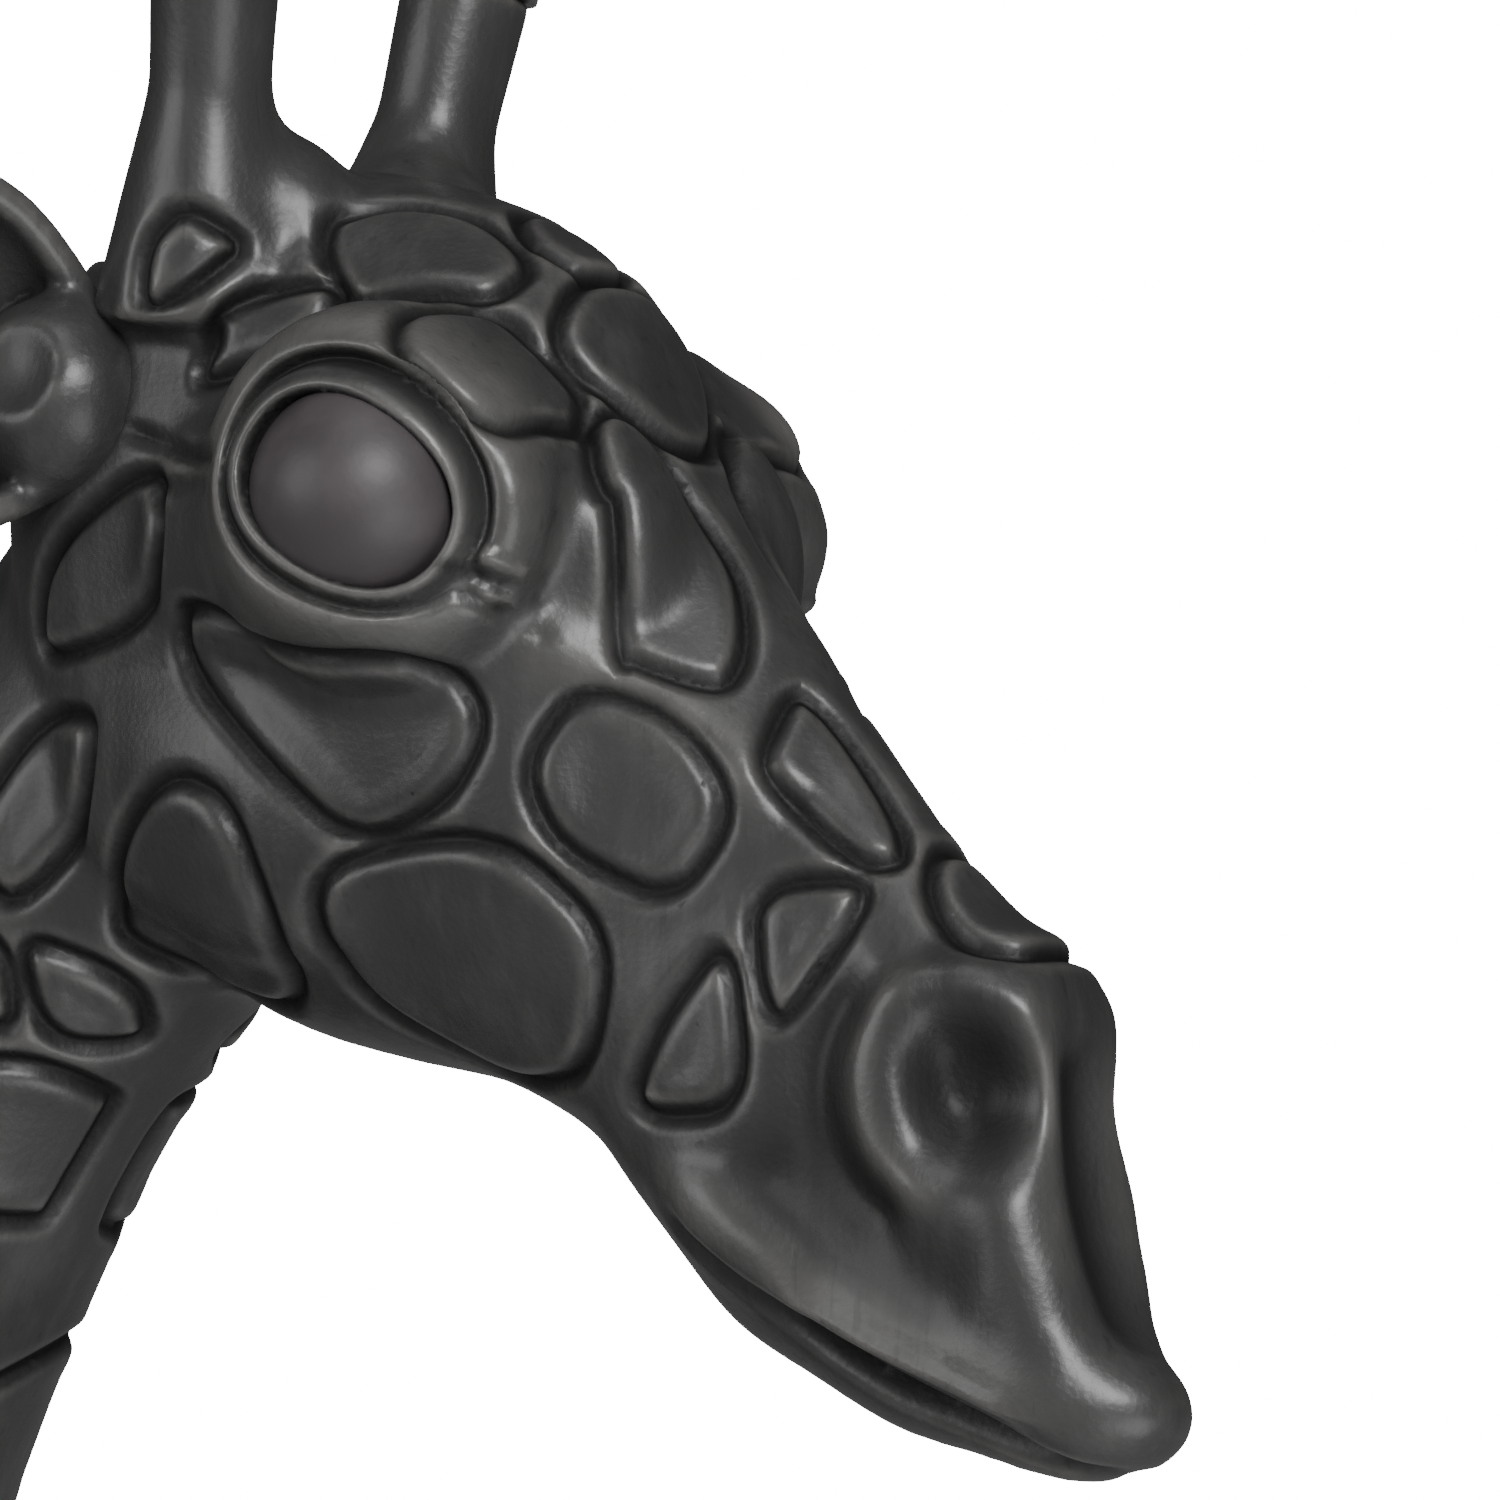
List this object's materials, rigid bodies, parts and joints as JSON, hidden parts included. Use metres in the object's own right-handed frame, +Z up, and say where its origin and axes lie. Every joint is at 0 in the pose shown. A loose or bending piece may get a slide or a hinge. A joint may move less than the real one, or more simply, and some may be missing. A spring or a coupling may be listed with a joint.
{
  "type": "carved giraffe statue",
  "caption": "Free-standing carved dark wood giraffe with a long slanted neck, horns, hollowed ears and an engraved patch pattern, joined from doweled blocks.",
  "frame": {"origin": "on the floor, at the centre of the bounding box seen from above", "axes": "+Z up; the giraffe faces +X; its left side is +Y"},
  "size_m": [0.557, 0.1186, 1.0001],
  "materials": {
    "carved_head": "near-black stain under satin wax",
    "carved_body": "near-black stain under satin wax",
    "eye_inlay": "polished dark reddish stain",
    "bare_wood": "unstained hardwood dowel"
  },
  "bodies": {
    "root": {"head": "carved_head", "neck": "carved_body", "torso": "carved_body", "leg_front_right": "carved_body", "leg_front_left": "carved_body", "leg_rear_right": "carved_body", "leg_rear_left": "carved_body", "horn_right": "carved_head", "horn_left": "carved_head", "ear_right": "carved_head", "ear_left": "carved_head", "eye_right": "eye_inlay", "eye_left": "eye_inlay", "tail": "carved_body", "head_dowels": "bare_wood", "neck_dowels": "bare_wood", "dowels_front_right": "bare_wood", "dowels_front_left": "bare_wood", "dowels_rear_right": "bare_wood", "dowels_rear_left": "bare_wood", "horn_peg_right": "bare_wood", "horn_peg_left": "bare_wood", "ear_peg_right": "bare_wood", "ear_peg_left": "bare_wood", "tail_peg": "bare_wood"}
  },
  "joints": []
}
